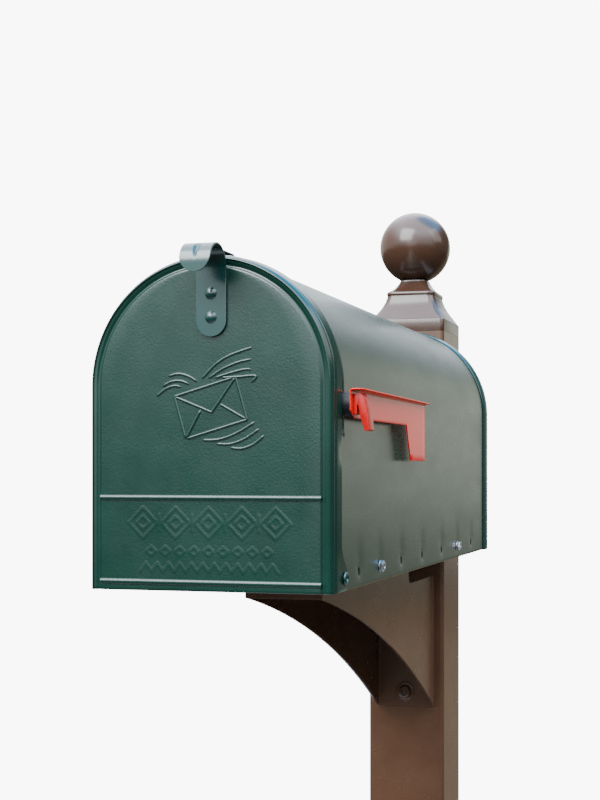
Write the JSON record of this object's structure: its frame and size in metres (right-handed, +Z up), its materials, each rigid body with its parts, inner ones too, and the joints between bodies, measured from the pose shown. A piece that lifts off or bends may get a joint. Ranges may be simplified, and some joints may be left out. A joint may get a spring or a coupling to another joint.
{
  "type": "post-mounted post box",
  "caption": "Arched steel letter box with a drop-down door and a side signal flag, carried by a curved bracket in front of a square post with a ball finial.",
  "frame": {"origin": "centre of the post's foot, at ground level", "axes": "+Z up along the post, -Y towards the door end, +X towards the side that carries the flag"},
  "size_m": [0.1979, 0.6442, 1.431],
  "materials": {
    "green": "satin, fine orange-peel texture",
    "bronze": "satin powder coat",
    "red": "gloss",
    "red_plastic": "gloss",
    "zinc": "zinc plated",
    "green_rivet": "satin",
    "timber": "sealed board",
    "nylon": "natural",
    "plug": "matte"
  },
  "bodies": {
    "root": {"shell": "green", "rear_panel": "green", "floor_pan": "green", "roof_catch": "green", "bracket": "bronze", "post_tube": "bronze", "post_cap": "bronze", "finial_ball": "bronze", "door_hinge_rivets": "zinc", "roof_catch_rivets": "zinc", "flag_pivot_rivet": "zinc", "flag_friction_washer": "zinc", "board_side_screws": "zinc", "bracket_board_screws": "zinc", "bracket_post_screws": "zinc", "bracket_post_washers": "zinc", "finial_stud": "zinc", "finial_nut": "zinc", "finial_washer": "zinc", "mounting_board": "timber", "flag_spacer": "nylon", "foot_plug": "plug"},
    "door_leaf": {"door": "green", "door_handle": "green", "door_handle_rivets": "green_rivet"},
    "signal_flag": {"flag": "red", "flag_finger_tab": "red_plastic"}
  },
  "joints": [
    {"name": "door_hinge", "type": "hinge", "parent": "root", "child": "door_leaf", "pos_m": [0, -0.5495, 1.0762], "axis": [1, 0, 0], "range_deg": [0, 100]},
    {"name": "flag_pivot", "type": "hinge", "parent": "root", "child": "signal_flag", "pos_m": [0.0945, -0.547, 1.194], "axis": [1, 0, 0], "range_deg": [0, 90]}
  ]
}
